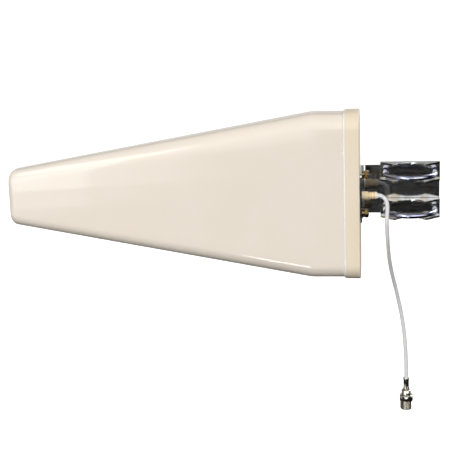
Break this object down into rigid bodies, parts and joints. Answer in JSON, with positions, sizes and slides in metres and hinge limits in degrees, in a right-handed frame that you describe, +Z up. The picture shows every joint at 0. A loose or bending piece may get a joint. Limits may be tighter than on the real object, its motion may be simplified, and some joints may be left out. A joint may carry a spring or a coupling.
{
  "type": "log-periodic directional antenna",
  "caption": "Wideband directional antenna in a tapered beige radome, with an L-bracket, a two-U-bolt mast clamp and a short coaxial pigtail.",
  "frame": {"origin": "on the axis of the clamped mast, midway between the two U-bolts", "axes": "+Z up the mast, -X towards the radome's nose, -Y towards the U-bolts' bows"},
  "size_m": [0.5433, 0.0798, 0.402],
  "materials": {
    "radome_plastic": "glossy moulded cream plastic",
    "cap_plastic": "glossy moulded beige plastic",
    "boot_plastic": "satin moulded beige plastic",
    "white_sealant": "cured white sealant",
    "cable_jacket": "smooth white cable jacket",
    "zinc_steel": "bright zinc plate on pressed steel",
    "bright_steel": "polished and plated steel rod",
    "nickel_plate": "nickel plate on turned brass",
    "gold_plate": "gold plate",
    "brass": "bare sheet",
    "bare_aluminium": "extruded, as drawn",
    "nylon": "natural moulded nylon",
    "white_insulator": "turned white insulator"
  },
  "bodies": {
    "antenna": {"block_screws": "zinc_steel", "boom_mount_block": "nylon", "boot_sealant": "white_sealant", "clamp_flat_washers": "zinc_steel", "clamp_spring_washers": "zinc_steel", "coax_pigtail": "cable_jacket", "connector_body": "nickel_plate", "connector_contact": "gold_plate", "connector_insulator": "white_insulator", "crimp_ferrule": "nickel_plate", "dipole_01": "bare_aluminium", "dipole_02": "bare_aluminium", "dipole_03": "bare_aluminium", "dipole_04": "bare_aluminium", "dipole_05": "bare_aluminium", "dipole_06": "bare_aluminium", "dipole_07": "bare_aluminium", "dipole_08": "bare_aluminium", "dipole_09": "bare_aluminium", "dipole_10": "bare_aluminium", "dipole_11": "bare_aluminium", "far_boom": "bare_aluminium", "feed_bridge": "brass", "feed_coax": "cable_jacket", "flange_bolts": "bright_steel", "flange_flat_washers": "zinc_steel", "flange_nuts": "zinc_steel", "flange_spring_washers": "zinc_steel", "front_spacer": "nylon", "l_bracket": "zinc_steel", "lower_clamp_jaw": "zinc_steel", "middle_spacer": "nylon", "mounting_plate": "zinc_steel", "near_boom": "bare_aluminium", "radome_shell": "radome_plastic", "rear_cap": "cap_plastic", "sealant_bead": "white_sealant", "shorting_bar": "bare_aluminium", "strain_relief_boot": "boot_plastic", "upper_clamp_jaw": "zinc_steel"},
    "lower_left_nut_body": {"lower_left_nut": "zinc_steel"},
    "lower_right_nut_body": {"lower_right_nut": "zinc_steel"},
    "lower_u_bolt_body": {"lower_u_bolt": "bright_steel"},
    "upper_left_nut_body": {"upper_left_nut": "zinc_steel"},
    "upper_right_nut_body": {"upper_right_nut": "zinc_steel"},
    "upper_u_bolt_body": {"upper_u_bolt": "bright_steel"}
  },
  "joints": [
    {"name": "upper_u_bolt_slide", "type": "slide", "parent": "antenna", "child": "upper_u_bolt_body", "axis": [0, -1, 0], "range_m": [-0.006, 0.008]},
    {"name": "upper_left_nut_turn", "type": "hinge", "parent": "antenna", "child": "upper_left_nut_body", "pos_m": [-0.0305, 0.03635, 0.0235], "axis": [0, 1, 0], "range_deg": [-2170, 2890]},
    {"name": "upper_right_nut_turn", "type": "hinge", "parent": "antenna", "child": "upper_right_nut_body", "pos_m": [0.0305, 0.03635, 0.0235], "axis": [0, 1, 0], "range_deg": [-2170, 2890]},
    {"name": "lower_u_bolt_slide", "type": "slide", "parent": "antenna", "child": "lower_u_bolt_body", "axis": [0, -1, 0], "range_m": [-0.006, 0.008]},
    {"name": "lower_left_nut_turn", "type": "hinge", "parent": "antenna", "child": "lower_left_nut_body", "pos_m": [-0.0305, 0.03635, -0.0235], "axis": [0, 1, 0], "range_deg": [-2170, 2890]},
    {"name": "lower_right_nut_turn", "type": "hinge", "parent": "antenna", "child": "lower_right_nut_body", "pos_m": [0.0305, 0.03635, -0.0235], "axis": [0, 1, 0], "range_deg": [-2170, 2890]}
  ],
  "couplings": [
    {"joint": "upper_left_nut_turn", "follows": "upper_u_bolt_slide", "rad_per_m": 6283.2},
    {"joint": "upper_right_nut_turn", "follows": "upper_u_bolt_slide", "rad_per_m": 6283.2},
    {"joint": "lower_left_nut_turn", "follows": "lower_u_bolt_slide", "rad_per_m": 6283.2},
    {"joint": "lower_right_nut_turn", "follows": "lower_u_bolt_slide", "rad_per_m": 6283.2}
  ]
}
